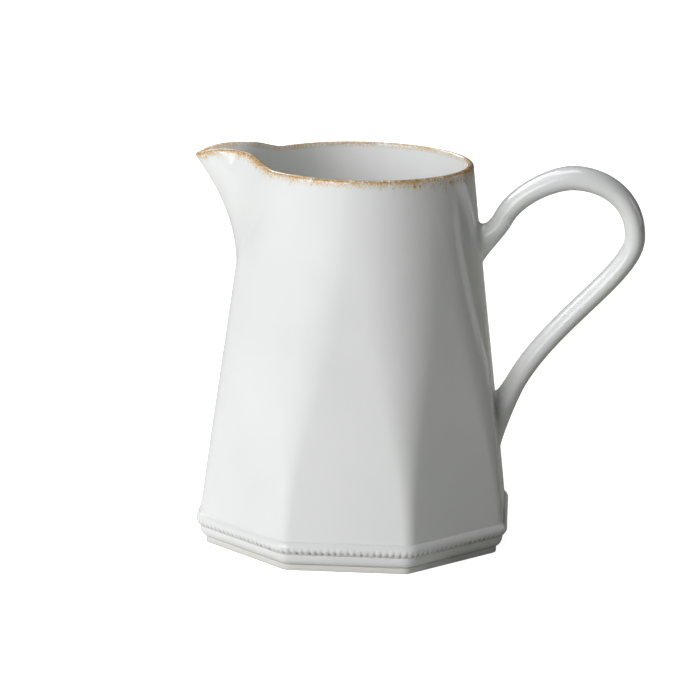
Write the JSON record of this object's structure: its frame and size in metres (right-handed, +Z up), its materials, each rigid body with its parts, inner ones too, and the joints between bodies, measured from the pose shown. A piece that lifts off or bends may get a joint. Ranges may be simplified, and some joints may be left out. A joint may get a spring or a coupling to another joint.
{
  "type": "cream jug",
  "caption": "Glazed porcelain cream jug with an eight-sided tapering body, round mouth, beak spout, looped strap handle and brown edge, for serving cream or milk.",
  "frame": {"origin": "the body's axis at the level of the surface that the foot ring stands on", "axes": "+Z up along the body's axis, +X towards the handle, -X towards the spout"},
  "size_m": [0.1311, 0.0912, 0.1153],
  "materials": {
    "white_glaze": "glossy transparent glaze over white porcelain",
    "iron_glaze": "glossy iron-brown edge wash, uneven",
    "bare_porcelain": "wiped unglazed porcelain, matt"
  },
  "bodies": {
    "root": {"body_wall": "white_glaze", "floor": "white_glaze", "foot_ring": "bare_porcelain", "foot_moulding": "white_glaze", "bead_band": "white_glaze", "spout": "white_glaze", "brown_edge": "iron_glaze", "handle": "white_glaze", "upper_handle_joint": "white_glaze", "lower_handle_joint": "white_glaze"}
  },
  "joints": []
}
